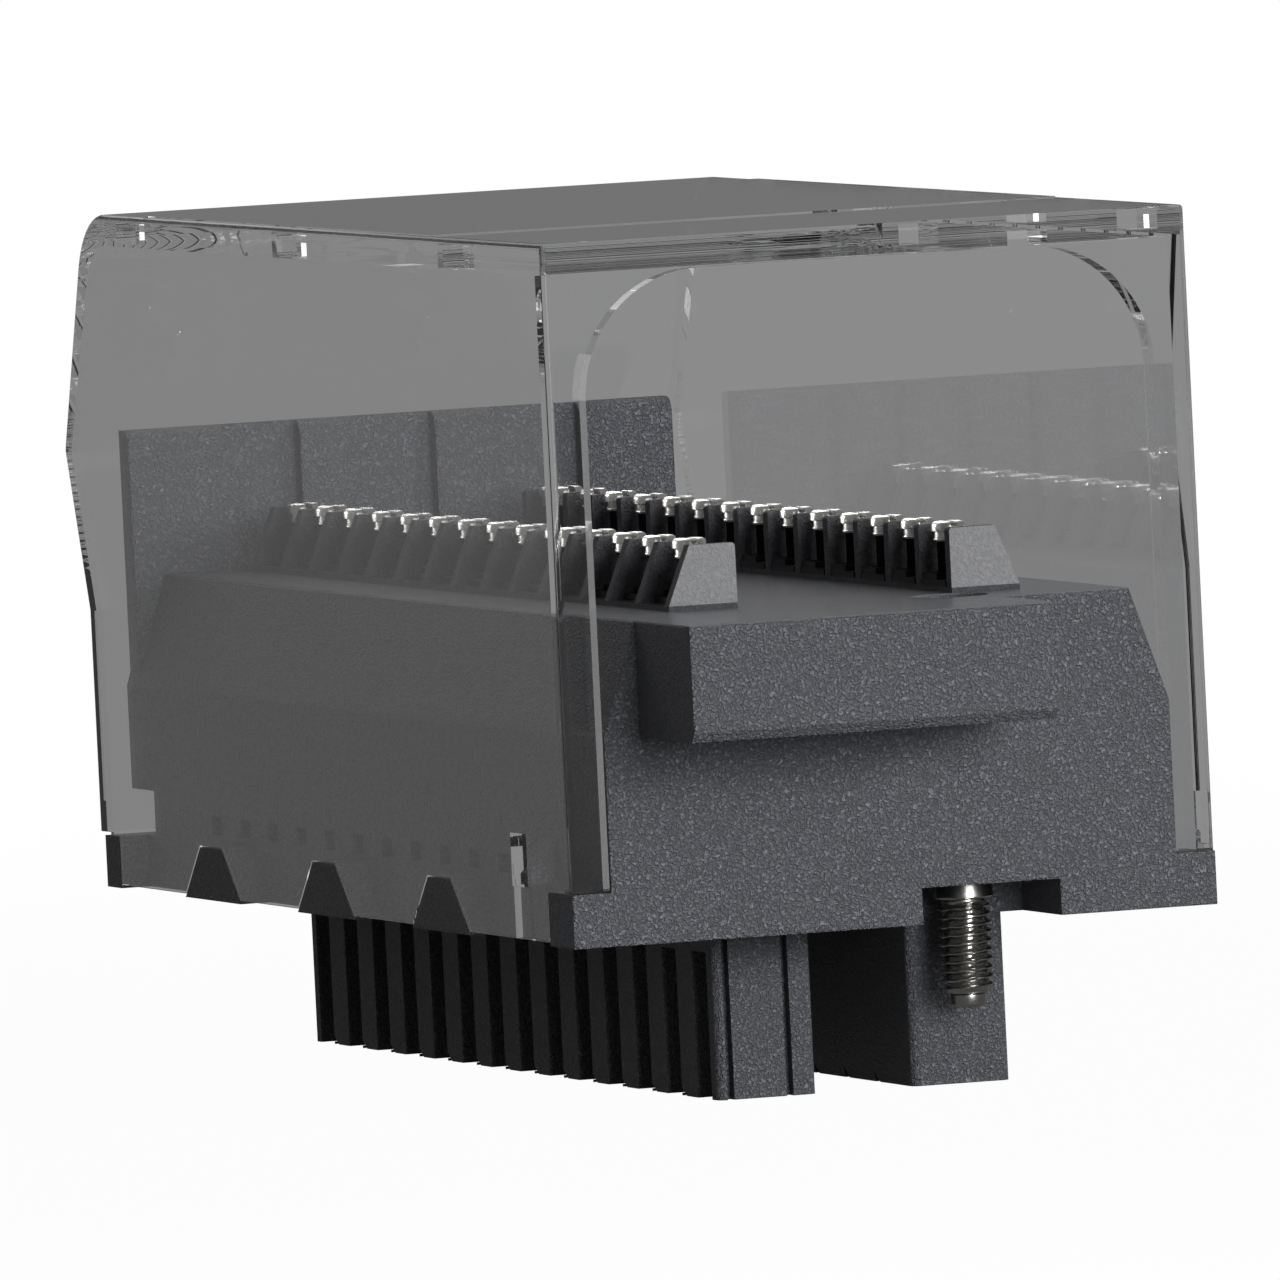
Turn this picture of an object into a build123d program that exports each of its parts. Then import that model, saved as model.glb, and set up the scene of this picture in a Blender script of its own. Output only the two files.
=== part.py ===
from build123d import *

import os
from math import atan2, degrees, hypot

# Terminal rows: X across, Y from the cable end to the far end, Z up from the seating face, in millimetres
pitch = 5.08
poles = 14
row_offset = 7.7
row_front_gap = 6.1
row_rear_gap = 5.0

# Base housing
base_width = 38.0
ledge_width = 2.3
flange_height = 3.0
front_foot_length = 4.2
rear_foot_length = 2.6
shoulder_height = 11.6
deck_height = 18.0
deck_inset = 2.1
nose_length = 9.25
nose_height = 6.5
nose_width = 21.4
nose_chamfer = 0.55
nose_edge_radius = 0.3

# Wall at the far end, with four pads and three recesses between them
end_wall_height = 26.4
end_wall_depth = 1.7
end_wall_side_gap = 0.25
pad_depth = 0.9
outer_pad_width = 5.9
inner_pad_width = 3.6
inner_pad_offset = 4.15

# Tabs that show through the skirt of the cover, each a whole number of poles from the next
tab_count = 3
tab_poles = 4
tab_first = 23.0
tab_foot_width = 10.0
tab_top_width = 3.8
recess_count = 11
recess_length = 1.95
recess_height = 1.1
recess_depth = 0.5
recess_level = 4.0

# Pocket in each far corner of the base
corner_pocket_length = 4.0
corner_pocket_height = 2.6
corner_pocket_depth = 1.6

# Catch on each side of the base and its window in the cover
catch_offset = 8.85
catch_length = 2.1
catch_depth = 1.9
catch_height = 2.6
catch_lip = 0.6
window_length = 2.7
window_sill = 3.1
window_height = 3.0

# Barrier strips that part the terminals
barrier_thickness = 0.8
barrier_top_half = 1.35
barrier_slant = 1.35
barrier_height = 21.65
barrier_radius = 0.2
plinth_height = 0.3

# Terminal hardware
screw_shift = 0.9
screw_radius = 1.08
screw_top = 21.85
screw_head_height = 0.85
screw_shank_radius = 0.75
screw_end = 15.6
screw_sides = 16
shank_sides = 8
slot_width = 0.4
slot_depth = 0.4
hardware_clearance = 0.1
contact_width = 3.2
contact_length = 3.8
contact_thickness = 0.35
clamp_width = 2.5
clamp_length = 2.3
clamp_thickness = 0.35
pocket_floor = 14.8

# Socket housings under the base and the contacts in their cells
socket_offset = 5.75
socket_width = 5.8
socket_depth = 9.45
socket_edge_radius = 0.5
cell_width = 2.36
cell_depth = 1.9
cell_roof = 1.2
end_rib = 1.2
foot_notch_depth = 0.35
foot_notch_half = 0.6
foot_notch_shift = 1.1
key_groove_width = 0.4
key_groove_depth = 0.7
key_groove_inset = 0.5
key_groove_spacing = 3.5
spring_width = 1.2
spring_thickness = 0.35
spring_length = 6.4

# Captive screws, one at each end, each with the notch that its tip stands in
captive_front_x = 5.35
captive_front_inset = 3.9
captive_rear_x = 0.0
captive_rear_inset = 4.1
captive_thread_radius = 1.5
captive_head_radius = 1.9
captive_head_height = 2.0
captive_head_seat = 6.2
captive_tip_radius = 1.0
captive_tip_length = 0.8
captive_reach = 5.0
captive_slot_width = 0.7
captive_slot_depth = 1.0
running_clearance = 0.05
access_radius = 2.2
collar_radius = 1.7
collar_height = 0.9
collar_seat_radius = 1.2
notch_offset = 0.3
notch_width = 8.2
notch_reach = 2.5
notch_height = 2.05

# Clear cover
cover_height = 39.15
cover_side_wall = 0.7
cover_top = 1.8
cover_front_wall = 1.8
cover_end_wall = 0.9
cover_clearance = 0.1
cover_edge_radius = 0.35
skirt_gap = 0.2
arch_radius = 7.0
bulge_height = 25.3
bulge_reach = 3.2
bulge_radius = 1.0
bulge_foot_height = 16.0
end_lean = 2.2
top_corner_radius = 5.0
pocket_length = 4.4
pocket_depth = 1.2
pocket_height = 1.2
pocket_drop = 0.4
pocket_spacing = 29.3
pocket_middle = 44.0
field_start = 20.0
field_length = 50.4
field_height = 0.06

# Places worked out from the driving sizes
row_length = poles * pitch + barrier_thickness
base_length = row_front_gap + row_length + row_rear_gap
front = -base_length / 2
rear = base_length / 2
row_start = front + row_front_gap
first_pole = row_start + (barrier_thickness + pitch) / 2
row_middle = row_start + row_length / 2
pole_places = [first_pole + pitch * index for index in range(poles)]
screw_places = [place + screw_shift for place in pole_places]
body_half = base_width / 2 - ledge_width
deck_half = body_half - deck_inset
plinth_top = deck_height + plinth_height
contact_top = plinth_top + contact_thickness
shank_hole = 2 * (screw_shank_radius + hardware_clearance)
catch_tip = body_half + catch_depth
cavity_half = base_width / 2 - cover_side_wall
arch_half = body_half + cover_clearance
ceiling = cover_height - cover_top
tab_places = [front + tab_first + tab_poles * pitch * index for index in range(tab_count)]
tab_angle = degrees(atan2(flange_height, (tab_foot_width - tab_top_width) / 2))
recess_places = [row_middle + pitch * (index - (recess_count - 1) / 2) for index in range(recess_count)]
sides = {"left": -1, "right": 1}
captive_places = {
    "front": (captive_front_x, front + captive_front_inset),
    "rear": (captive_rear_x, rear - captive_rear_inset),
}
barrier_groups = {
    "barrier_strip": range(1, poles),
    "end_barrier_front": [0],
    "end_barrier_rear": [poles],
}

os.makedirs("parts", exist_ok=True)

# Base housing: body, deck, nose, end wall and the feet that the cover stands on
with BuildPart() as base_housing:
    with BuildSketch(Plane.XZ):
        with BuildLine():
            Polyline(
                (-body_half, 0),
                (body_half, 0),
                (body_half, shoulder_height),
                (deck_half, deck_height),
                (-deck_half, deck_height),
                (-body_half, shoulder_height),
                close=True,
            )
        make_face()
    extrude(amount=base_length / 2, both=True)

    # Nose that carries the cables out of the arch
    with BuildSketch(Plane.XZ.offset(-front)):
        with Locations((-deck_half, deck_height)):
            Rectangle(nose_width, nose_height, align=(Align.MIN, Align.MAX))
    extrude(amount=nose_length)
    nose_edges = base_housing.edges().filter_by(Axis.X).group_by(Axis.Y)[0]
    chamfer(nose_edges.sort_by(Axis.Z)[0], length=nose_chamfer)
    nose_edges = base_housing.edges().filter_by(Axis.X).group_by(Axis.Y)[0]
    fillet(nose_edges.sort_by(Axis.Z)[-1], radius=nose_edge_radius)

    # End wall, full height, and its pads with rounded tops
    wall_half = body_half - end_wall_side_gap
    with BuildSketch(Plane.XZ.offset(-rear)):
        Rectangle(2 * wall_half, end_wall_height, align=(Align.CENTER, Align.MIN))
    extrude(amount=end_wall_depth - pad_depth)
    pad_back = rear - end_wall_depth + pad_depth
    with BuildSketch(Plane.YZ):
        with BuildLine():
            Polyline(
                (pad_back, end_wall_height),
                (pad_back, 0),
                (pad_back - pad_depth, 0),
                (pad_back - pad_depth, end_wall_height - pad_depth),
            )
            RadiusArc(
                (pad_back - pad_depth, end_wall_height - pad_depth),
                (pad_back, end_wall_height),
                pad_depth,
            )
        make_face()
    pads = extrude(amount=wall_half, both=True, mode=Mode.PRIVATE)
    outer_pad_middle = wall_half - outer_pad_width / 2
    with BuildPart(mode=Mode.PRIVATE) as pad_zones:
        for middle, width in ((outer_pad_middle, outer_pad_width), (inner_pad_offset, inner_pad_width)):
            with Locations((middle, rear, 0), (-middle, rear, 0)):
                Box(width, 4 * end_wall_depth, end_wall_height, align=(Align.CENTER, Align.CENTER, Align.MIN))
    add(pads & pad_zones.part)

    # Feet at the corners, tabs along the skirt and catches for the cover
    for side in sides.values():
        with BuildSketch(Plane.YZ.offset(side * base_width / 2)):
            with Locations((front, 0)):
                Rectangle(front_foot_length, flange_height, align=(Align.MIN, Align.MIN))
            with Locations((rear, 0)):
                Rectangle(rear_foot_length, flange_height, align=(Align.MAX, Align.MIN))
            with Locations([(place, 0) for place in tab_places]):
                Trapezoid(tab_foot_width, flange_height, tab_angle, align=(Align.CENTER, Align.MIN))
        extrude(amount=-side * ledge_width)
        with BuildSketch(Plane.XZ.offset(-(front + catch_offset - catch_length / 2))):
            with BuildLine():
                Polyline(
                    (side * body_half, window_sill + cover_clearance),
                    (side * catch_tip, window_sill + cover_clearance),
                    (side * catch_tip, window_sill + cover_clearance + catch_lip),
                    (side * body_half, window_sill + catch_height),
                    close=True,
                )
            make_face()
        extrude(amount=-catch_length)
        with Locations([(side * body_half, place, recess_level) for place in recess_places]):
            Box(2 * recess_depth, recess_length, recess_height, mode=Mode.SUBTRACT)
        with Locations([(side * row_offset, place, pocket_floor) for place in screw_places]):
            Box(
                shank_hole,
                shank_hole,
                deck_height,
                align=(Align.CENTER, Align.CENTER, Align.MIN),
                mode=Mode.SUBTRACT,
            )

    # Notches and bores of the captive screws
    with BuildSketch(Plane.XY):
        with Locations((captive_front_x + notch_offset, front)):
            Rectangle(notch_width, 2 * (captive_front_inset + notch_reach))
        with Locations((captive_rear_x, rear)):
            Rectangle(notch_width, 2 * (captive_rear_inset + notch_reach))
    extrude(amount=notch_height, mode=Mode.SUBTRACT)
    with BuildSketch(Plane.XY):
        with Locations(list(captive_places.values())):
            Circle(captive_thread_radius + running_clearance)
    extrude(amount=deck_height, mode=Mode.SUBTRACT)
    with BuildSketch(Plane.XY.offset(captive_head_seat)):
        with Locations(list(captive_places.values())):
            Circle(access_radius)
    extrude(amount=deck_height, mode=Mode.SUBTRACT)

    # Pockets in the far corners, above the feet
    with Locations((body_half, rear, flange_height), (-body_half, rear, flange_height)):
        Box(
            2 * corner_pocket_depth,
            2 * corner_pocket_length,
            corner_pocket_height,
            align=(Align.CENTER, Align.CENTER, Align.MIN),
            mode=Mode.SUBTRACT,
        )
base_housing.part.label = "base_housing"
export_step(base_housing.part, "parts/base_housing.step")

# Barriers of each row: the strip with its plinth, and the end barriers that close it
for name, side in sides.items():
    for group, indexes in barrier_groups.items():
        with BuildPart() as barriers:
            planes = [Plane.XZ.offset(-(row_start + pitch * index)) for index in indexes]
            with BuildSketch(*planes) as outline:
                with BuildLine():
                    Polyline(
                        (side * (row_offset - barrier_top_half), plinth_top),
                        (side * (row_offset + barrier_top_half + barrier_slant), plinth_top),
                        (side * (row_offset + barrier_top_half), barrier_height),
                        (side * (row_offset - barrier_top_half), barrier_height),
                        close=True,
                    )
                make_face()
                inner_top = outline.vertices().group_by(Axis.Y)[-1].sort_by(lambda corner: abs(corner.X))[0]
                fillet(inner_top, radius=barrier_radius)
            extrude(amount=-barrier_thickness)
            if group == "barrier_strip":
                strip_width = 2 * barrier_top_half + barrier_slant
                strip_middle = row_offset + barrier_slant / 2
                with Locations((side * strip_middle, row_middle, deck_height)):
                    Box(strip_width, row_length, plinth_height, align=(Align.CENTER, Align.CENTER, Align.MIN))
                with Locations([(side * row_offset, place, deck_height) for place in screw_places]):
                    Box(
                        shank_hole,
                        shank_hole,
                        plinth_height,
                        align=(Align.CENTER, Align.CENTER, Align.MIN),
                        mode=Mode.SUBTRACT,
                    )
        barriers.part.label = f"{group}_{name}"
        export_step(barriers.part, f"parts/{group}_{name}.step")

    # Contact plate, clamp plate and screw of each pole
    with BuildPart() as contact_plates:
        plate_middle = row_offset - barrier_top_half + contact_width / 2
        with BuildSketch(Plane.XY.offset(plinth_top)):
            with Locations([(side * plate_middle, place) for place in pole_places]):
                Rectangle(contact_width, contact_length)
            with Locations([(side * row_offset, place) for place in screw_places]):
                Rectangle(shank_hole, shank_hole, mode=Mode.SUBTRACT)
        extrude(amount=contact_thickness)
    contact_plates.part.label = f"contact_plates_{name}"
    export_step(contact_plates.part, f"parts/contact_plates_{name}.step")

    with BuildPart() as clamp_plates:
        with BuildSketch(Plane.XY.offset(contact_top)):
            with Locations([(side * row_offset, place) for place in screw_places]):
                Rectangle(clamp_width, clamp_length)
                Rectangle(shank_hole, shank_hole, mode=Mode.SUBTRACT)
        extrude(amount=clamp_thickness)
    clamp_plates.part.label = f"clamp_plates_{name}"
    export_step(clamp_plates.part, f"parts/clamp_plates_{name}.step")

    with BuildPart() as terminal_screws:
        with BuildSketch(Plane.XY.offset(screw_end)):
            with Locations([(side * row_offset, place) for place in screw_places]):
                RegularPolygon(screw_shank_radius, shank_sides)
        extrude(amount=screw_top - screw_end)
        with BuildSketch(Plane.XY.offset(screw_top)):
            with Locations([(side * row_offset, place) for place in screw_places]):
                RegularPolygon(screw_radius, screw_sides)
        extrude(amount=-screw_head_height)
        with Locations([(side * row_offset, place, screw_top) for place in screw_places]):
            Box(
                slot_width,
                2 * screw_radius,
                slot_depth,
                align=(Align.CENTER, Align.CENTER, Align.MAX),
                mode=Mode.SUBTRACT,
            )
    terminal_screws.part.label = f"terminal_screws_{name}"
    export_step(terminal_screws.part, f"parts/terminal_screws_{name}.step")

# Socket housings: a row of cells open to the outer side, with a notch under each cell
socket_length = (poles - 1) * pitch + cell_width + 2 * end_rib
foot_notch_slope = hypot(foot_notch_half, foot_notch_depth)
for name, side in sides.items():
    outer = side * (socket_offset + socket_width / 2)
    with BuildPart() as socket_housing:
        with BuildSketch(Plane.XY):
            with Locations((side * socket_offset, row_middle)):
                RectangleRounded(socket_width, socket_length, socket_edge_radius)
            if side < 0:
                groove_y = row_middle - socket_length / 2
                for inset in (key_groove_inset, key_groove_inset + key_groove_spacing):
                    with Locations((outer + inset + key_groove_width / 2, groove_y)):
                        Rectangle(key_groove_width, 2 * key_groove_depth, mode=Mode.SUBTRACT)
        extrude(amount=-socket_depth)
        with Locations([(outer, place, -cell_roof) for place in pole_places]):
            Box(
                2 * cell_depth,
                cell_width,
                socket_depth,
                align=(Align.CENTER, Align.CENTER, Align.MAX),
                mode=Mode.SUBTRACT,
            )
        with BuildSketch(Plane.YZ.offset(side * socket_offset)):
            notch_places = [place - pitch / 2 + foot_notch_shift for place in pole_places[1:]]
            with Locations([(place, -socket_depth) for place in notch_places]):
                Triangle(
                    c=2 * foot_notch_half,
                    b=foot_notch_slope,
                    a=foot_notch_slope,
                    align=(Align.CENTER, Align.MIN),
                )
        extrude(amount=socket_width, both=True, mode=Mode.SUBTRACT)
    socket_housing.part.label = f"socket_housing_{name}"
    export_step(socket_housing.part, f"parts/socket_housing_{name}.step")

    with BuildPart() as socket_springs:
        wall = abs(outer) - cell_depth
        with Locations([(side * wall, place, -cell_roof) for place in pole_places]):
            Box(
                spring_thickness,
                spring_width,
                spring_length,
                align=(Align.MIN if side > 0 else Align.MAX, Align.CENTER, Align.MAX),
            )
    socket_springs.part.label = f"socket_springs_{name}"
    export_step(socket_springs.part, f"parts/socket_springs_{name}.step")

# Captive screws, each with the collar that keeps it in the base
thread_end = captive_tip_length - captive_reach
collar_top = notch_height - running_clearance
collar_foot = collar_top - collar_height
head_foot = captive_head_seat + running_clearance
for name, (screw_x, screw_y) in captive_places.items():
    with BuildPart() as captive_screw:
        with BuildSketch(Plane.XZ.offset(-screw_y)):
            with BuildLine():
                Polyline(
                    (screw_x, -captive_reach),
                    (screw_x + captive_tip_radius, -captive_reach),
                    (screw_x + captive_tip_radius, thread_end),
                    (screw_x + captive_thread_radius, thread_end),
                    (screw_x + captive_thread_radius, collar_foot),
                    (screw_x + collar_seat_radius, collar_foot),
                    (screw_x + collar_seat_radius, collar_top),
                    (screw_x + captive_thread_radius, collar_top),
                    (screw_x + captive_thread_radius, head_foot),
                    (screw_x + captive_head_radius, head_foot),
                    (screw_x + captive_head_radius, head_foot + captive_head_height),
                    (screw_x, head_foot + captive_head_height),
                    close=True,
                )
            make_face()
        revolve(axis=Axis((screw_x, screw_y, 0), (0, 0, 1)))
        with Locations((screw_x, screw_y, head_foot + captive_head_height)):
            Box(
                2 * captive_head_radius,
                captive_slot_width,
                captive_slot_depth,
                align=(Align.CENTER, Align.CENTER, Align.MAX),
                mode=Mode.SUBTRACT,
            )
    captive_screw.part.label = f"captive_screw_{name}"
    export_step(captive_screw.part, f"parts/captive_screw_{name}.step")

    with BuildPart() as retaining_collar:
        with BuildSketch(Plane.XZ.offset(-screw_y)):
            with BuildLine():
                Polyline(
                    (screw_x + collar_seat_radius + running_clearance, collar_foot),
                    (screw_x + captive_thread_radius, collar_foot),
                    (screw_x + collar_radius, collar_top),
                    (screw_x + collar_seat_radius + running_clearance, collar_top),
                    close=True,
                )
            make_face()
        revolve(axis=Axis((screw_x, screw_y, 0), (0, 0, 1)))
    retaining_collar.part.label = f"retaining_collar_{name}"
    export_step(retaining_collar.part, f"parts/retaining_collar_{name}.step")

# Clear cover: one shell with an arch at the cable end and a bulge at the far end
cover_end = rear + cover_clearance + cover_end_wall
shell_steps = (
    (front, skirt_gap, cover_height, 0, base_width / 2, Mode.ADD),
    (front + cover_front_wall, -flange_height, ceiling, cover_end_wall, cavity_half, Mode.SUBTRACT),
)
with BuildPart() as clear_cover:
    for start_y, foot, top, inset, half_width, mode in shell_steps:
        with BuildSketch(Plane.YZ) as profile:
            with BuildLine():
                Polyline(
                    (start_y, foot),
                    (start_y, top),
                    (cover_end - end_lean - inset, top),
                    (cover_end + bulge_reach - inset, bulge_height),
                    (cover_end - inset, bulge_foot_height),
                    (cover_end - inset, foot),
                    close=True,
                )
            make_face()
            top_corner = profile.vertices().group_by(Axis.Y)[-1].sort_by(Axis.X)[-1]
            fillet(top_corner, radius=top_corner_radius - inset)
            fillet(profile.vertices().sort_by(Axis.X)[-1], radius=bulge_radius)
        extrude(amount=half_width, both=True, mode=mode)
        if mode == Mode.ADD:
            side_edges = clear_cover.faces().filter_by(Axis.X).edges()
            long_edges = side_edges.filter_by(lambda edge: edge.center().Z > flange_height)
            fillet(long_edges, radius=cover_edge_radius)

    # Arch for the cables
    with BuildSketch(Plane.XZ.offset(-front)) as arch:
        with Locations((0, -flange_height)):
            Rectangle(2 * arch_half, ceiling + flange_height, align=(Align.CENTER, Align.MIN))
        fillet(arch.vertices().group_by(Axis.Y)[-1], radius=arch_radius)
    extrude(amount=cover_front_wall, both=True, mode=Mode.SUBTRACT)

    # Skirt cut back round the feet and tabs, and the windows of the catches
    with BuildSketch(Plane.YZ):
        with Locations((front, 0)):
            foot_zone = 2 * (front_foot_length + cover_clearance)
            Rectangle(foot_zone, flange_height, align=(Align.CENTER, Align.MIN))
        with Locations((rear, 0)):
            foot_zone = 2 * (rear_foot_length + cover_clearance)
            Rectangle(foot_zone, flange_height, align=(Align.CENTER, Align.MIN))
        with Locations((rear, 0)):
            Rectangle(
                2 * (cover_end - rear + cover_clearance),
                flange_height + skirt_gap,
                align=(Align.CENTER, Align.MIN),
            )
        with Locations([(place, 0) for place in tab_places]):
            tab_zone = tab_foot_width + 4 * cover_clearance
            Trapezoid(tab_zone, flange_height + cover_clearance, tab_angle, align=(Align.CENTER, Align.MIN))
        with Locations((front + catch_offset, window_sill)):
            Rectangle(window_length, window_height, align=(Align.CENTER, Align.MIN))
    extrude(amount=base_width, both=True, mode=Mode.SUBTRACT)
    for side in sides.values():
        with Locations((side * cavity_half, front + catch_offset, 0)):
            channel = 2 * (catch_tip - cavity_half + cover_clearance)
            Box(channel, window_length, 2 * window_sill, mode=Mode.SUBTRACT)

    # Marking field on the top and the pockets beside it, high in both side walls
    with BuildSketch(Plane.XY.offset(cover_height)):
        with Locations((0, front + field_start)):
            Rectangle(base_width - 2 * cover_edge_radius, field_length, align=(Align.CENTER, Align.MIN))
    extrude(amount=field_height)
    pocket_top = cover_height - pocket_drop
    pocket_places = [front + pocket_middle + pocket_spacing * step for step in (-1, 0, 1)]
    for side in sides.values():
        with Locations([(side * base_width / 2, place, pocket_top) for place in pocket_places]):
            Box(
                2 * pocket_depth,
                pocket_length,
                pocket_height,
                align=(Align.CENTER, Align.CENTER, Align.MAX),
                mode=Mode.SUBTRACT,
            )
clear_cover.part.label = "clear_cover"
export_step(clear_cover.part, "parts/clear_cover.step")
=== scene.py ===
# %% [markdown]
# # Removable terminal block
#
# The real object is a dark moulded base with two rows of screw terminals, two rows of sockets
# underneath, a captive fixing screw at each end and a clear cover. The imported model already
# holds the size and place of every piece. This script adds the finishes, the fine screws and
# threads, the studio and the camera.

import math

import bmesh
import bpy
from mathutils import Matrix, Vector


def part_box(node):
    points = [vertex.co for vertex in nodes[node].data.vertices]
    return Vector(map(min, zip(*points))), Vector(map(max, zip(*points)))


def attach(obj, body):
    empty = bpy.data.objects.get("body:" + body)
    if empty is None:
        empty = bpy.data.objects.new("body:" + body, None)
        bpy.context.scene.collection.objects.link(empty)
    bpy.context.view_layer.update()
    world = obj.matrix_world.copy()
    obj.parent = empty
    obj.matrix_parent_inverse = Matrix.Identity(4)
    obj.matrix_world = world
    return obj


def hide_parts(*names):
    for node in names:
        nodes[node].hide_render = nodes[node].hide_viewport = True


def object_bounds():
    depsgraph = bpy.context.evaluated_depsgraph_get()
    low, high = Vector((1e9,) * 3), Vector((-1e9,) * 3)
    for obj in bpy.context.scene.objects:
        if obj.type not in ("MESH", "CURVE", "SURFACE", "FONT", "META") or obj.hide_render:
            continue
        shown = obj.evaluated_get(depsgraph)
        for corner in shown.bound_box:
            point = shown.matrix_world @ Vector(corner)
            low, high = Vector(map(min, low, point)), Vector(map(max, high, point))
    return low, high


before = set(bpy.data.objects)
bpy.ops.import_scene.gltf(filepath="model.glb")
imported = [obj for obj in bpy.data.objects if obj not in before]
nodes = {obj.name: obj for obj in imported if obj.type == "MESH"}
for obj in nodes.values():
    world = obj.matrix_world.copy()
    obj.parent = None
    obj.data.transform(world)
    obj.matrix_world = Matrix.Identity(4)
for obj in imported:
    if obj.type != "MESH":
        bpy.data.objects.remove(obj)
cad_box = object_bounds()
print("loaded", len(nodes), "nodes,", [round(1000 * (b - a), 1) for a, b in zip(*cad_box)], "mm")

# %% [markdown]
# Every length in the script is in metres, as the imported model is. A short name for a millimetre
# keeps the sizes readable, because a terminal block is drawn in millimetres. Places are read from
# the model where they can be, so that the fine pieces follow it when a size changes.

# %% Units and the places that the frame gives
MM = 0.001
SIDES = ("left", "right")
ENDS = ("front", "rear")
POLES = 14
PITCH = 5.08 * MM
MIDDLE = Vector((0, 0, 15 * MM))


def in_mm(length):
    return round(length / MM, 2)


far_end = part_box("base_housing")[1].y
deck_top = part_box("barrier_strip_left")[0].z
screw_low, screw_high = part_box("terminal_screws_left")
print("deck at", in_mm(deck_top), "mm, top of the screws at", in_mm(screw_high.z), "mm")


# %% [markdown]
# ## Node helpers
#
# Shader maths is easier to read as an expression than as a list of nodes and links. The small
# class below wraps one output socket. Adding or multiplying two of them adds the Math node that
# does it, and the same works with a plain number on either side.

# %% Shader values that can be added and multiplied
class Value:
    def __init__(self, tree, socket):
        self.tree = tree
        self.socket = socket

    def math(self, operation, *others):
        sockets = [other.socket if isinstance(other, Value) else other for other in (self, *others)]
        return self.tree.node("ShaderNodeMath", {"operation": operation}, dict(enumerate(sockets)))

    def __add__(self, other):
        return self.math("ADD", other)

    def __mul__(self, other):
        return self.math("MULTIPLY", other)

    def __sub__(self, other):
        return self.math("SUBTRACT", other)

    def __rsub__(self, other):
        return (self * -1) + other

    __radd__ = __add__
    __rmul__ = __mul__

    def above(self, level, softness):
        """0 below the level and 1 above it, turning over the softness."""
        settings = {"interpolation_type": "SMOOTHSTEP"}
        inputs = {"Value": self, "From Min": level - softness, "From Max": level + softness}
        return self.tree.node("ShaderNodeMapRange", settings, inputs)


# %% [markdown]
# One method makes every node. Its settings come first, because a node such as Math shows
# different sockets for each setting, and then its inputs are filled with numbers or links.

# %% The tree that a material, the world or a modifier is built in
class Tree:
    def __init__(self, node_tree):
        self.nodes = node_tree.nodes
        self.links = node_tree.links
        self.nodes.clear()

    def node(self, kind, settings=None, inputs=None, output=0):
        made = self.nodes.new(kind)
        for name, setting in (settings or {}).items():
            setattr(made, name, setting)
        for name, given in (inputs or {}).items():
            given = given.socket if isinstance(given, Value) else given
            if isinstance(given, bpy.types.NodeSocket):
                self.links.new(given, made.inputs[name])
            else:
                made.inputs[name].default_value = given
        return Value(self, made.outputs[output]) if len(made.outputs) else made

    def place(self):
        return self.node("ShaderNodeTexCoord", output="Object")

    def axis(self, name):
        return self.node("ShaderNodeSeparateXYZ", {}, {"Vector": self.place()}, output=name)

    def noise(self, size, detail=2.0, roughness=0.5, distortion=0.0):
        inputs = {
            "Vector": self.place(),
            "Scale": 1 / size,
            "Detail": detail,
            "Roughness": roughness,
            "Distortion": distortion,
        }
        return self.node("ShaderNodeTexNoise", {}, inputs, output="Fac")

    def mix(self, factor, low, high):
        """The low colour at 0 and the high one at 1. Sockets 6, 7 and 2 are those for colours."""
        inputs = {"Factor": factor, 6: low, 7: high}
        return self.node("ShaderNodeMix", {"data_type": "RGBA"}, inputs, output=2)

    def bump(self, height, depth, rounded=0.0):
        """A relief of that depth, on edges that look rounded to that radius."""
        inputs = {"Height": height, "Distance": depth}
        if rounded:
            inputs["Normal"] = self.node("ShaderNodeBevel", {"samples": 6}, {"Radius": rounded})
        return self.node("ShaderNodeBump", {}, inputs)


def shading(owner):
    owner.use_nodes = True
    return Tree(owner.node_tree)


print("node helpers are ready")


# %% [markdown]
# ## Finishes
#
# Each finish starts from the Principled shader. What is the same all over is set on its sockets,
# and only colour, roughness and bump come from nodes, so that the finish also survives export.

# %% Start a finish
def finish(name, fixed, changing):
    material = bpy.data.materials.new(name)
    tree = shading(material)
    inputs = {**fixed, **changing(tree)}
    shader = tree.node("ShaderNodeBsdfPrincipled", {}, inputs)
    tree.node("ShaderNodeOutputMaterial", {}, {"Surface": shader})
    return material


# %% [markdown]
# The moulding is dark grey plastic with a fine leathery grain, which comes from the etched steel
# of its mould. A noise that is bent by its own distortion gives the worm-like ridges. The ridges
# are also painted slightly paler than the pits, a painted highlight for the light that they catch.
# A second, broad noise clouds the surface faintly. The deck between the terminals is smooth and
# glossier than the walls, and the wall at the far end rises past it with its grain. Moulded edges
# are never quite sharp: the Bevel node rounds the shading at each edge, which lets it catch a thin
# line of light.

# %% The grain of a moulded plastic
CLOUD = 14 * MM
END_WALL = 3 * MM
BORDER = 0.05 * MM


def shades(colour, contrast):
    return [tuple(factor * part for part in colour) + (1,) for factor in (1 - contrast, 1 + contrast)]


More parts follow.
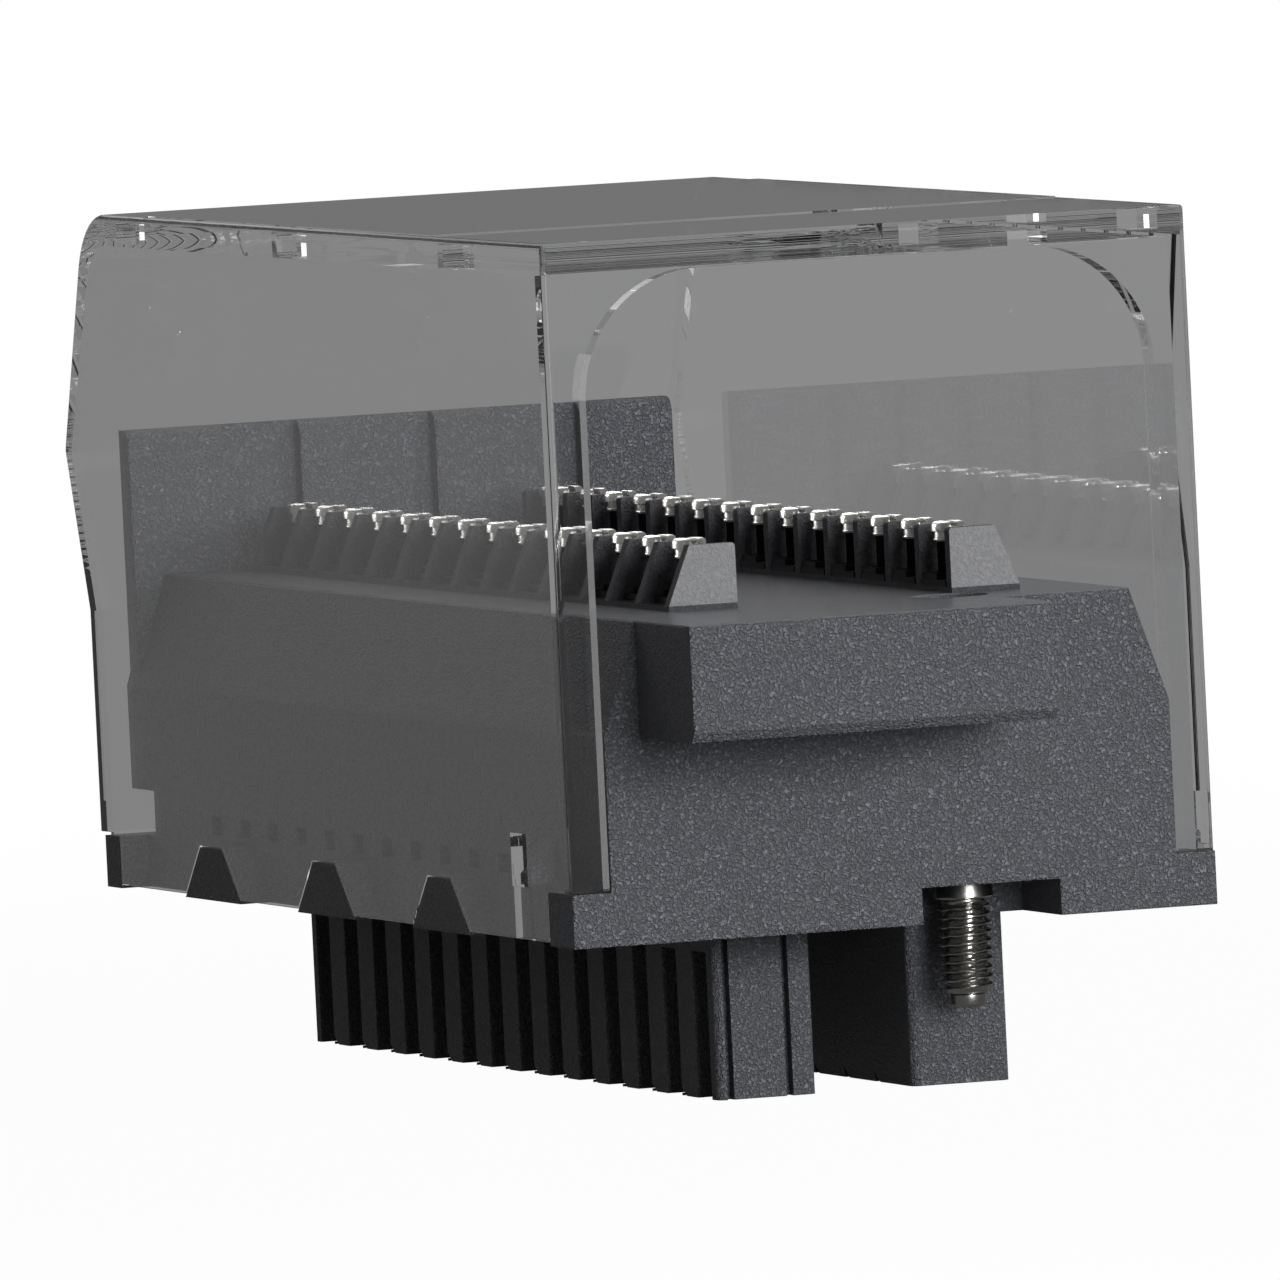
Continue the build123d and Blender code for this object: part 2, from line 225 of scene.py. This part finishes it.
def grained(colour, grain, depth, roughness, smooth_above=None, contrast=0.26, edge=0.0):
    def nodes_of(tree):
        ridges = tree.noise(grain, detail=1.5, distortion=1.0).above(0.5, 0.2)
        cloud = tree.noise(CLOUD, detail=3.0)
        strength = 1.0
        dull = roughness + (cloud - 0.5) * 0.1
        if smooth_above is not None:
            deck = tree.axis("Z").above(smooth_above, BORDER)
            end_wall = tree.axis("Y").above(far_end - END_WALL, BORDER)
            smooth = deck * (1 - end_wall)
            strength = 1 - smooth * 0.85
            dull = dull - smooth * 0.28
        # painted highlight: the ridges are painted paler than the pits; the broad cloud adds random
        # tone
        shade = (ridges - 0.5) * strength * 0.8 + cloud * 0.2 + 0.4
        return {
            "Base Color": tree.mix(shade, *shades(colour, contrast)),
            "Roughness": dull,
            "Normal": tree.bump(ridges * strength, depth, rounded=edge),
        }

    return nodes_of


print("the grain is the same for all plastics, only finer or deeper")

# %% [markdown]
# The base is the coarsest, the sockets are a little darker, and the barriers between the
# terminals are nearly smooth. The barriers are painted much darker than the base, as painted
# shade for the deep shade between the terminals. All three are the same kind of plastic, so they
# share how strongly they shine.

# %% Moulded plastics
BASE_GREY = (0.104, 0.107, 0.118)
SOCKET_GREY = (0.095, 0.098, 0.108)
BARRIER_DARK_AS_PAINTED_SHADE = (0.042, 0.043, 0.048)

walls_and_deck = grained(
    BASE_GREY,
    grain=0.175 * MM,
    depth=0.2 * MM,
    roughness=0.5,
    smooth_above=deck_top - 0.1 * MM,
    contrast=0.34,
    edge=0.3 * MM,
)
sockets = grained(SOCKET_GREY, grain=0.165 * MM, depth=0.19 * MM, roughness=0.5, contrast=0.36)
# painted shade: the barrier colour is darkened for the shade between the terminals
barriers = grained(BARRIER_DARK_AS_PAINTED_SHADE, grain=0.22 * MM, depth=0.03 * MM, roughness=0.45)

plastic = {"IOR": 1.5, "Specular IOR Level": 0.4}
base_finish = finish("moulded base", plastic, walls_and_deck)
socket_finish = finish("moulded sockets", plastic, sockets)
barrier_painted_shade_finish = finish("barriers darkened as painted shade", plastic, barriers)
print("three moulded plastics")

# %% [markdown]
# The barrier that closes each row has a pale outer face, its own paler colour. Its edges keep the
# darkened barrier finish, painted shade where they stand in the shade. The face is found by its
# place along the row, which is the object's Y axis.

# %% End barriers with a pale outer face
PAINT_DARK = (0.128, 0.129, 0.133, 1)
PAINT_LIGHT = (0.172, 0.173, 0.178, 1)


def pale_face_shaded_edges(outward, face):
    def nodes_of(tree):
        black = barriers(tree)
        speckle = tree.noise(0.22 * MM, distortion=1.0).above(0.5, 0.3)
        pale = tree.mix(speckle, PAINT_DARK, PAINT_LIGHT)
        outer = (tree.axis("Y") * outward).above(face * outward - 0.04 * MM, 0.02 * MM)
        # the outer face gets its own pale colour; the edges keep the barrier finish that is painted
        # shade
        return {**black, "Base Color": tree.mix(outer, black["Base Color"], pale)}

    return nodes_of


front_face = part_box("end_barrier_front_left")[0].y
rear_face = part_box("end_barrier_rear_left")[1].y
end_finishes = {
    "front": finish("front end barriers", plastic, pale_face_shaded_edges(-1, front_face)),
    "rear": finish("rear end barriers", plastic, pale_face_shaded_edges(1, rear_face)),
}
print("two end barriers, pale at", in_mm(front_face), "and", in_mm(rear_face), "mm")


# %% [markdown]
# The screws are nickel plate. The steel plates under them are painted very dark, as painted shade
# where they sit in the shade between the barriers. A metal shows mostly what it reflects, so the
# noise here is kept very fine and shallow. Below its washer a terminal screw is painted black and
# rough, as painted shade where its shank stands in the shade between the barriers, so its finish
# turns dark below one height.

# %% Metals
SHANK_PAINTED_SHADE = (0.008, 0.008, 0.008, 1)
BRIGHT_PART = 1.1 * MM


def plated(colour, roughness, scuff, painted_shade_below=None):
    def nodes_of(tree):
        marks = tree.noise(0.25 * MM, detail=4.0)
        darker = tuple(0.85 * c for c in colour) + (1,)
        shade = tree.mix(marks, darker, (*colour, 1))
        dull = roughness + (marks - 0.5) * 0.1
        look = {"Base Color": shade, "Roughness": dull, "Normal": tree.bump(marks, scuff)}
        if painted_shade_below is not None:
            # painted shade: below this height the screw is painted black, rough and not metallic
            bright = tree.axis("Z").above(painted_shade_below, 0.02 * MM)
            look["Base Color"] = tree.mix(bright, SHANK_PAINTED_SHADE, shade)
            look["Roughness"] = dull * bright + (1 - bright) * 0.9
            look["Metallic"] = bright
        return look

    return nodes_of


bright_head = plated(
    (0.6, 0.59, 0.565), roughness=0.2, scuff=0.003 * MM, painted_shade_below=screw_high.z - BRIGHT_PART
)
nickel = plated((0.38, 0.375, 0.36), roughness=0.22, scuff=0.003 * MM)
# painted shade: the plates are made nearly black so that they sink into the shade between the
# barriers
plate_painted_shade = plated((0.05, 0.05, 0.052), roughness=0.45, scuff=0.006 * MM)
brass = plated((0.72, 0.58, 0.3), roughness=0.3, scuff=0.004 * MM)

metal = {"Metallic": 1.0}
terminal_finish = finish("nickel heads", {"Specular IOR Level": 0.0}, bright_head)
screw_finish = finish("nickel plate", metal, nickel)
plate_painted_shade_finish = finish("steel plate darkened as painted shade", metal, plate_painted_shade)
spring_finish = finish("contact springs", metal, brass)
print("four metals")


# %% [markdown]
# The cover is clear polycarbonate. Full transmission with a plastic's index of refraction shifts
# the view through each wall a little and lights the cut edges from inside. A faint wave in the
# surface, as plastic that flowed into a mould has, keeps it from looking like perfect glass.

# %% Clear cover
WAVE = 9 * MM


def clear(tree):
    flow = tree.noise(WAVE, detail=1.0)
    tint = tree.mix(flow, (0.975, 0.98, 0.985, 1), (0.99, 0.99, 0.99, 1))
    return {"Base Color": tint, "Roughness": flow * 0.002, "Normal": tree.bump(flow, 0.0005 * MM)}


clear_finish = finish("clear polycarbonate", {"IOR": 1.55, "Transmission Weight": 1.0}, clear)
print("one clear plastic")

# %% [markdown]
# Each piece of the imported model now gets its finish. The cover casts no shadow: light passes
# through the real one, and a path tracer finds few of the ways that it takes.

# %% Give each node its finish
def dress(node, material):
    mesh = nodes[node].data
    mesh.materials.clear()
    mesh.materials.append(material)


dress("base_housing", base_finish)
dress("clear_cover", clear_finish)
for side in SIDES:
    dress(f"barrier_strip_{side}", barrier_painted_shade_finish)
    dress(f"contact_plates_{side}", plate_painted_shade_finish)
    dress(f"clamp_plates_{side}", plate_painted_shade_finish)
    dress(f"terminal_screws_{side}", terminal_finish)
    dress(f"socket_housing_{side}", socket_finish)
    dress(f"socket_springs_{side}", spring_finish)
    for end in ENDS:
        dress(f"end_barrier_{end}_{side}", end_finishes[end])
for end in ENDS:
    dress(f"captive_screw_{end}", screw_finish)
    dress(f"retaining_collar_{end}", screw_finish)
nodes["clear_cover"].visible_shadow = False
print("dressed", len(nodes), "nodes")

# %% [markdown]
# ## Screws
#
# The solids of the screws are plain, because only their size matters there. Close up, a terminal
# screw has a rounded rim, a narrow neck, a captive washer and a slot, and its bright edges are
# what the eye finds first in the dark rows. One screw is turned like a part on a lathe: its
# outline is spun about the upright axis.
#
# A spun surface is closed where its ends meet, and its faces are made to look outward. Faces that
# meet at a small angle are shaded as one curve, and the rest keep a crisp edge. Then the piece is
# hung on the body that it moves with, and the plain solid that it stands in for is hidden.

# %% Mesh helpers
MERGE_WITHIN = 0.0005 * MM
CRISP_FROM = math.radians(38)


def closed_mesh(name, form):
    bmesh.ops.remove_doubles(form, verts=form.verts[:], dist=MERGE_WITHIN)
    bmesh.ops.recalc_face_normals(form, faces=form.faces[:])
    mesh = bpy.data.meshes.new(name)
    form.to_mesh(mesh)
    form.free()
    return mesh


def placed(name, mesh):
    made = bpy.data.objects.new(name, mesh)
    bpy.context.scene.collection.objects.link(made)
    return made


def hand_over(piece, body, node):
    piece.data.shade_smooth()
    piece.data.set_sharp_from_angle(angle=CRISP_FROM)
    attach(piece, body)
    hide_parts(node)
    return piece


print("faces meeting at less than", round(math.degrees(CRISP_FROM)), "degrees are shaded as one")


# %% [markdown]
# The outline is a list of points, each a radius and a height. A rim is the quarter circle that a
# lathe tool or a header die leaves on an edge.

# %% Turn an outline on the lathe
def turned(name, outline, segments=40):
    form = bmesh.new()
    points = [form.verts.new((radius, 0, height)) for radius, height in outline]
    edges = [form.edges.new(pair) for pair in zip(points, points[1:])]
    bmesh.ops.spin(
        form, geom=points + edges, cent=(0, 0, 0), axis=(0, 0, 1), angle=math.tau, steps=segments
    )
    return closed_mesh(name, form)


def rim(radius, height, curve, steps=5):
    angles = [math.pi / 2 * step / steps for step in range(steps + 1)]
    return [
        (radius - curve + curve * math.cos(angle), height - curve + curve * math.sin(angle))
        for angle in angles
    ]


print("a quarter circle of", len(rim(1, 1, 0.5)), "points")

# %% [markdown]
# From the bottom up, the outline of a terminal screw is its shank, the captive washer, a narrow
# neck and a low head with a rounded rim.

# %% One terminal screw
head_top = screw_high.z
head_radius, neck_radius, washer_radius, shank_radius = 0.96 * MM, 0.8 * MM, 0.86 * MM, 0.7 * MM
head_low = head_top - 0.58 * MM
washer_top = head_low - 0.34 * MM
washer_low = washer_top - 0.16 * MM
outline = [
    (0, screw_low.z),
    (shank_radius, screw_low.z),
    (shank_radius, washer_low),
    (washer_radius - 0.03 * MM, washer_low),
    *rim(washer_radius, washer_top, 0.07 * MM, steps=3),
    (neck_radius, washer_top),
    (neck_radius, head_low),
    (head_radius, head_low + 0.04 * MM),
    *rim(head_radius, head_top, 0.25 * MM),
    (0, head_top),
]
terminal_screw = turned("terminal screw", outline)
print("one screw of", len(terminal_screw.polygons), "faces")

# %% [markdown]
# The fourteen screws of a row are the same screw again and again at one pitch, which is a rule, so
# Geometry Nodes make it. The tree cuts the slot once, puts a copy on each point of a line and
# turns the copies into real mesh. Its sizes are named inputs.

# %% The node tree of a row of slotted screws
ROW_INPUTS = {
    "Geometry": "NodeSocketGeometry",
    "Count": "NodeSocketInt",
    "First": "NodeSocketVector",
    "Pitch": "NodeSocketFloat",
    "Top": "NodeSocketFloat",
    "Slot Width": "NodeSocketFloat",
    "Slot Depth": "NodeSocketFloat",
    "Finish": "NodeSocketMaterial",
}
row_group = bpy.data.node_groups.new("row of slotted screws", "GeometryNodeTree")
row_group.is_modifier = True
for name, kind in ROW_INPUTS.items():
    row_group.interface.new_socket(name, in_out="INPUT", socket_type=kind)
row_group.interface.new_socket("Geometry", in_out="OUTPUT", socket_type="NodeSocketGeometry")

CUT_LENGTH = 6 * MM
row = Tree(row_group)
given = {name: row.node("NodeGroupInput", output=name) for name in ROW_INPUTS}
cut_sides = {"X": given["Slot Width"], "Y": CUT_LENGTH, "Z": given["Slot Depth"] * 2}
cut_size = row.node("ShaderNodeCombineXYZ", {}, cut_sides)
cutter = row.node("GeometryNodeMeshCube", {}, {"Size": cut_size}, output="Mesh")
cut_place = row.node("ShaderNodeCombineXYZ", {}, {"Z": given["Top"]})
cutter = row.node("GeometryNodeTransform", {}, {"Geometry": cutter, "Translation": cut_place})
slotted = row.node(
    "GeometryNodeMeshBoolean",
    {"operation": "DIFFERENCE", "solver": "EXACT"},
    {"Mesh 1": given["Geometry"], "Mesh 2": cutter},
    output="Mesh",
)
step = row.node("ShaderNodeCombineXYZ", {}, {"Y": given["Pitch"]})
line = row.node(
    "GeometryNodeMeshLine",
    {"mode": "OFFSET"},
    {"Count": given["Count"], "Start Location": given["First"], "Offset": step},
)
copies = row.node("GeometryNodeInstanceOnPoints", {}, {"Points": line, "Instance": slotted})
real = row.node("GeometryNodeRealizeInstances", {}, {"Geometry": copies})
painted = row.node("GeometryNodeSetMaterial", {}, {"Geometry": real, "Material": given["Finish"]})
row.node("NodeGroupOutput", {}, {"Geometry": painted})
print("a tree of", len(row.nodes), "nodes")

# %% [markdown]
# The modifier's inputs are set before it is first evaluated. Its result is copied into a plain
# mesh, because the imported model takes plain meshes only, and the modifier comes off again.

# %% Make a row and hand it over
def screw_row(name, one_screw, material, body, node, sizes):
    piece = placed(name, one_screw)
    modifier = piece.modifiers.new("row", "NODES")
    modifier.node_group = row_group
    sizes = {**sizes, "Finish": material}
    for item in row_group.interface.items_tree:
        if item.in_out == "INPUT" and item.name in sizes:
            modifier[item.identifier] = sizes[item.name]
    evaluated = piece.evaluated_get(bpy.context.evaluated_depsgraph_get())
    mesh = bpy.data.meshes.new_from_object(evaluated)
    piece.modifiers.clear()
    piece.data = mesh
    return hand_over(piece, body, node)


metal_pieces = []
for side in SIDES:
    low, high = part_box(f"terminal_screws_{side}")
    middle = (low + high) / 2
    sizes = {
        "Count": POLES,
        "First": (middle.x, middle.y - PITCH * (POLES - 1) / 2, 0),
        "Pitch": PITCH,
        "Top": head_top,
        "Slot Width": 0.4 * MM,
        "Slot Depth": 0.4 * MM,
    }
    name, node = f"slotted_screws_{side}", f"terminal_screws_{side}"
    screws = screw_row(name, terminal_screw, terminal_finish, "base", node, sizes)
    metal_pieces.append(screws)
    print(side, "row of", len(screws.data.polygons), "faces")


# %% [markdown]
# The captive screw that fixes the block to its carrier shows its thread under the base. A thread
# is a ridge that climbs one pitch for each turn, so the radius of each point follows from its
# height and its turn alone. The ridge is cut flat at its crest, and it runs out over one pitch at
# both ends of the thread. The mesh is a stack of rings with that radius.

# %% The thread
THREAD_PITCH = 0.5 * MM
THREAD_CORE, THREAD_CREST = 1.19 * MM, 1.5 * MM
THREAD_LOW, THREAD_HIGH = -4.2 * MM, 1.1 * MM
FLAT_CREST = 1.2


def thread_radius(height, turn):
    phase = (height / THREAD_PITCH - turn) % 1
    ridge = min(1.0, FLAT_CREST * (1 - abs(2 * phase - 1)))
    run_out = min(1.0, (height - THREAD_LOW) / THREAD_PITCH, (THREAD_HIGH - height) / THREAD_PITCH)
    return THREAD_CORE + (THREAD_CREST - THREAD_CORE) * ridge * run_out


print("a thread of", round((THREAD_HIGH - THREAD_LOW) / THREAD_PITCH, 1), "turns")


# %% [markdown]
# The rest of the screw is round: a plain point that finds the hole, a shank without thread, along
# which the screw stays captive, and a wide low head. Each is a list of heights and radii in
# millimetres.

# %% One captive screw
def captive_screw(columns=44, rows_per_pitch=8):
    tip = [(-5.0, 0.0), (-5.0, 0.78), (-4.92, 0.94), (-4.8, 1.0), (-4.3, 1.0), (-4.2, 0.88)]
    neck = [(1.1, 1.2), (2.0, 1.2), (2.0, 1.5), (6.25, 1.5)]
    head = [(6.25, 1.9), (8.05, 1.9), (8.2, 1.85), (8.25, 1.7), (8.25, 0.0)]
    threaded = THREAD_HIGH - THREAD_LOW
    rows = int(threaded / THREAD_PITCH * rows_per_pitch)
    heights = [THREAD_LOW + threaded * row / rows for row in range(rows + 1)]
    rings = [[(z * MM, r * MM)] * columns for z, r in tip]
    rings += [[(z, thread_radius(z, c / columns)) for c in range(columns)] for z in heights]
    rings += [[(z * MM, r * MM)] * columns for z, r in neck + head]
    form = bmesh.new()
    circles = []
    for ring in rings:
        angles = [math.tau * column / columns for column in range(columns)]
        circles.append([
            form.verts.new((radius * math.cos(angle), radius * math.sin(angle), height))
            for (height, radius), angle in zip(ring, angles)
        ])
    for below, above in zip(circles, circles[1:]):
        for column in range(columns):
            after = (column + 1) % columns
            form.faces.new((below[column], below[after], above[after], above[column]))
    return closed_mesh("captive screw", form)


fixing_screw = captive_screw()
print("one screw of", len(fixing_screw.polygons), "faces")


# %% [markdown]
# The collar that keeps the screw from falling out is turned with a slightly conical side, which
# catches the light. Its outline is a closed loop, because it has a bore.

# %% One retaining collar
def retaining_collar(end):
    low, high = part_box(f"retaining_collar_{end}")
    bore, wide = 1.22 * MM, (high.x - low.x) / 2
    outline = [
        (bore, low.z),
        (wide - 0.1 * MM, low.z),
        (wide, low.z + 0.1 * MM),
        (wide - 0.12 * MM, high.z - 0.05 * MM),
        (wide - 0.2 * MM, high.z),
        (bore, high.z),
        (bore, low.z),
    ]
    collar = placed(f"turned_collar_{end}", turned("retaining collar", outline))
    middle = (low + high) / 2
    collar.data.transform(Matrix.Translation((middle.x, middle.y, 0)))
    collar.data.materials.append(screw_finish)
    return hand_over(collar, f"captive_{end}", f"retaining_collar_{end}")


for end in ENDS:
    low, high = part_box(f"captive_screw_{end}")
    middle = (low + high) / 2
    sizes = {
        "Count": 1,
        "First": (middle.x, middle.y, 0),
        "Pitch": PITCH,
        "Top": high.z,
        "Slot Width": 0.7 * MM,
        "Slot Depth": 1.0 * MM,
    }
    name, node = f"slotted_captive_screw_{end}", f"captive_screw_{end}"
    screw = screw_row(name, fixing_screw, screw_finish, f"captive_{end}", node, sizes)
    metal_pieces += [screw, retaining_collar(end)]
    print(end, "captive screw of", len(screw.data.polygons), "faces, top at", in_mm(high.z), "mm")


# %% [markdown]
# ## Studio
#
# The block stands on a plain white floor. In the photograph the clear cover and the metal show a
# mid grey room, not the white behind the block. So the background has a tone for each kind of ray:
# white for what the camera sees directly, the grey for what it sees through the cover, and a
# darker grey for what a surface mirrors and for the light in the shade. The Light Path node tells
# the rays apart. A ray that goes through clear plastic counts as a glossy one too.

# %% World
SEEN_THROUGH = 0.27
MIRRORED = 0.15
IN_THE_SHADE = 0.19


def ray(tree, kind):
    return tree.node("ShaderNodeLightPath", output=f"Is {kind} Ray")


def ray_kinds(tree):
    """One for a ray straight from the camera, one that came through and one that was mirrored."""
    through = ray(tree, "Transmission")
    return ray(tree, "Camera"), through, ray(tree, "Glossy") * (1 - through)


world = bpy.data.worlds.new("room")
bpy.context.scene.world = world
room = shading(world)
direct, through, mirrored = ray_kinds(room)
shade = (1 - direct - through - mirrored) * IN_THE_SHADE
tone = direct + through * SEEN_THROUGH + mirrored * MIRRORED + shade
background = room.node("ShaderNodeBackground", {}, {"Strength": tone, "Color": (1, 1, 1, 1)})
room.node("ShaderNodeOutputWorld", {}, {"Surface": background})
print("room tones", SEEN_THROUGH, MIRRORED, IN_THE_SHADE)

# %% [markdown]
# One large soft lamp low in front lights the front faces and leaves the left side in shade, as in
# the photograph. A smaller one from the right skims the grain and brings it out, and one behind
# keeps the far side from going black. The other lamps only draw highlights. Light linking keeps
# each of them to the pieces that it serves: windows to the left, above and in front for the metal,
# one above and behind for the rounded edges of the base, and two for the cut edges of the cover.
# A lamp's power follows from the brightness of its disc, which is easier to compare with the
# white background.

# %% One lamp
def lamp(name, azimuth, elevation, distance, size, brightness, serves=None):
    """A disc of light aimed at the block. Azimuth 0 is behind the block and 180 in front of it."""
    around, up = math.radians(azimuth), math.radians(elevation)
    aim = Vector((math.sin(around) * math.cos(up), math.cos(around) * math.cos(up), math.sin(up)))
    light = bpy.data.lights.new(name, "AREA")
    light.shape = "DISK"
    light.size = size
    area = math.pi * (size / 2) ** 2
    light.energy = brightness * math.pi * area
    made = bpy.data.objects.new(name, light)
    bpy.context.scene.collection.objects.link(made)
    made.location = aim * distance + MIDDLE
    made.rotation_euler = (-aim).to_track_quat("-Z", "Y").to_euler()
    made.visible_diffuse = serves is None
    made.visible_glossy = serves is not None
    made.visible_transmission = serves is not None
    if serves is not None:
        served = bpy.data.collections.new(f"served by {name}")
        for piece in serves:
            served.objects.link(piece)
        made.light_linking.receiver_collection = served
    return made


print("a lamp that serves no list of pieces lights everything, and no surface mirrors it")

# %% [markdown]
# One row of the table is one lamp. The angles are in degrees, the distance and the size in metres.
# A slightly rough metal spreads the light of its windows, so those are the brightest.

# %% All lamps
base, cover = [nodes["base_housing"]], [nodes["clear_cover"]]
LAMPS = [
    # name, azimuth, elevation, distance, size, brightness, pieces served
    ("key", 172, 9, 1.0, 0.5, 21.2, None),
    ("side key", 128, 15, 1.0, 0.3, 23.0, None),
    ("left window for the metal", -40, 12, 0.8, 0.3, 90.0, metal_pieces),
    ("high window for the metal", 5, 42, 0.9, 0.6, 60.0, metal_pieces),
    ("front window for the metal", 172, 4, 0.8, 0.28, 60.0, metal_pieces),
    ("window for the edges of the base", 8, 48, 0.9, 0.5, 4.0, base),
    ("back fill", 45, 7, 1.0, 0.5, 9.0, None),
    ("front window for the cover", -150, 8, 1.2, 0.6, 1.6, cover),
    ("back window for the cover", 6, 24, 1.2, 0.4, 0.5, cover),
]
for settings in LAMPS:
    lamp(*settings)
print(len(LAMPS), "lamps")

# %% [markdown]
# Light that enters the edge of a clear wall runs along inside it like a cable of glass, and it
# bounces many times before it comes out. The path tracer is allowed as many steps as that needs.
# With too few, the cut edges of the cover turn black.

# %% Steps for light inside the clear walls
STEPS = 32
light_paths = bpy.context.scene.cycles
light_paths.max_bounces = STEPS
light_paths.glossy_bounces = STEPS
light_paths.transmission_bounces = STEPS
print("up to", STEPS, "steps for each ray")

# %% [markdown]
# The floor is a disc. To the camera it is almost all plain white, with a little of its own shading
# left in, so that the block keeps a faint shadow. To rays that come through the cover or off the
# metal it is the grey of the room. Its rim fades into the background.

# %% Floor
FLOOR_RADIUS = 0.6
PLAIN_NEAR = 0.975
PAPER_GREY = (0.25, 0.25, 0.25, 1)

floor_form = bmesh.new()
bmesh.ops.create_circle(floor_form, cap_ends=True, radius=FLOOR_RADIUS, segments=96)
floor_mesh = bpy.data.meshes.new("floor")
floor_form.to_mesh(floor_mesh)
floor_form.free()
floor_mesh.transform(Matrix.Translation((0, 0, cad_box[0].z)))
floor = placed("floor", floor_mesh)
paper = bpy.data.materials.new("paper")
sheet = shading(paper)
direct, through, mirrored = ray_kinds(sheet)
measured = {"operation": "LENGTH"}
away = sheet.node("ShaderNodeVectorMath", measured, {0: sheet.place()}, output="Value")
plain = PLAIN_NEAR + away.above(0.2, 0.12) * (1 - PLAIN_NEAR)
shaded = sheet.node("ShaderNodeBsdfDiffuse", {}, {"Color": PAPER_GREY})
tone = direct + through * SEEN_THROUGH + mirrored * MIRRORED
flat = sheet.node("ShaderNodeEmission", {}, {"Color": (1, 1, 1, 1), "Strength": tone})
kept = (direct + through + mirrored) * plain
mixed = sheet.node("ShaderNodeMixShader", {}, {0: kept, 1: shaded, 2: flat})
sheet.node("ShaderNodeOutputMaterial", {}, {"Surface": mixed})
floor_mesh.materials.append(paper)
print("floor at", in_mm(cad_box[0].z), "mm")

# %% [markdown]
# ## Camera
#
# The photograph was taken with a very long lens, low and from the front left, with the camera
# turned a little about its own axis. The numbers come from matching the edges of the block.

# %% Camera
AZIMUTH = math.radians(19.066)
ELEVATION = math.radians(3.057)
ROLL = math.radians(-2.807)
CAMERA_PLACE = Vector((-0.55029, -1.59230, 0.10453))
LENS_MM = 833.7

forward = Vector((
    math.sin(AZIMUTH) * math.cos(ELEVATION),
    math.cos(AZIMUTH) * math.cos(ELEVATION),
    -math.sin(ELEVATION),
))
level = Vector((math.cos(AZIMUTH), -math.sin(AZIMUTH), 0))
upright = level.cross(forward)
rightward = level * math.cos(ROLL) + upright * math.sin(ROLL)
upward = upright * math.cos(ROLL) - level * math.sin(ROLL)
camera = bpy.data.objects.new("camera", bpy.data.cameras.new("camera"))
bpy.context.scene.collection.objects.link(camera)
camera.data.lens = LENS_MM
camera.data.clip_end = 10
turn = Matrix((rightward, upward, -forward)).transposed().to_4x4()
camera.matrix_world = Matrix.Translation(CAMERA_PLACE) @ turn
bpy.context.scene.camera = camera
bpy.context.scene.view_settings.view_transform = "Standard"
print("camera", round((CAMERA_PLACE - MIDDLE).length, 3), "m away")
